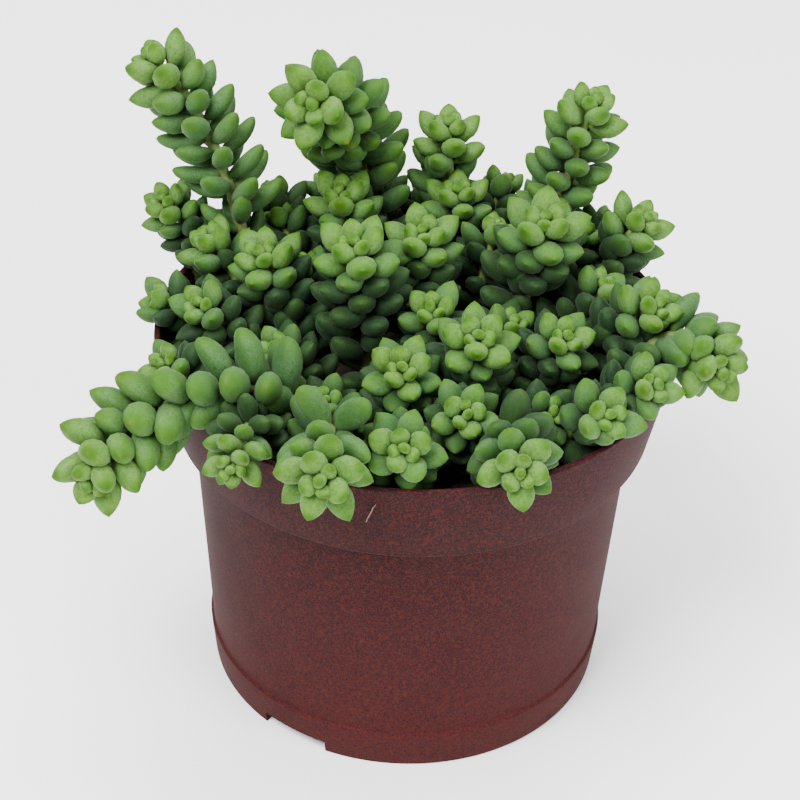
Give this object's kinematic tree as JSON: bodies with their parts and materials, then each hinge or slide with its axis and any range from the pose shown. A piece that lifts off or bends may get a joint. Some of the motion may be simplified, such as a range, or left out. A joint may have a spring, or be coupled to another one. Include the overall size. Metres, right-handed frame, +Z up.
{
  "type": "potted burros tail plant",
  "caption": "Round plastic nursery pot filled with soil, with a full mound of leafy burro's tail stems, some tall and some trailing over the rim.",
  "frame": {"origin": "middle of the pot's underside, on the surface that the pot stands on", "axes": "+Z up along the pot's axis, -Y towards the side that the picture shows, +X to the right in the picture"},
  "size_m": [0.163, 0.1439, 0.1615],
  "materials": {
    "pot": "matte",
    "soil": "matte",
    "leaf": "satin"
  },
  "bodies": {
    "root": {"pot": "pot", "soil": "soil", "leafy_stem_01": "leaf", "leafy_stem_02": "leaf", "leafy_stem_03": "leaf", "leafy_stem_04": "leaf", "leafy_stem_05": "leaf", "leafy_stem_06": "leaf", "leafy_stem_07": "leaf", "leafy_stem_08": "leaf", "leafy_stem_09": "leaf", "leafy_stem_10": "leaf", "leafy_stem_11": "leaf", "leafy_stem_12": "leaf", "leafy_stem_13": "leaf", "leafy_stem_14": "leaf", "leafy_stem_15": "leaf", "leafy_stem_16": "leaf", "leafy_stem_17": "leaf", "leafy_stem_18": "leaf", "leafy_stem_19": "leaf", "leafy_stem_20": "leaf", "leafy_stem_21": "leaf", "leafy_stem_22": "leaf", "leafy_stem_23": "leaf", "leafy_stem_24": "leaf", "leafy_stem_25": "leaf", "leafy_stem_26": "leaf", "leafy_stem_27": "leaf", "leafy_stem_28": "leaf", "leafy_stem_29": "leaf", "leafy_stem_30": "leaf", "leafy_stem_31": "leaf", "leafy_stem_32": "leaf", "leafy_stem_33": "leaf", "leafy_stem_34": "leaf", "leafy_stem_35": "leaf", "leafy_stem_36": "leaf", "leafy_stem_37": "leaf", "leafy_stem_38": "leaf", "leafy_stem_39": "leaf", "leafy_stem_40": "leaf", "leafy_stem_41": "leaf", "leafy_stem_42": "leaf", "leafy_stem_43": "leaf", "leafy_stem_44": "leaf", "leafy_stem_45": "leaf", "leafy_stem_46": "leaf", "leafy_stem_47": "leaf", "leafy_stem_48": "leaf", "leafy_stem_49": "leaf"}
  },
  "joints": []
}
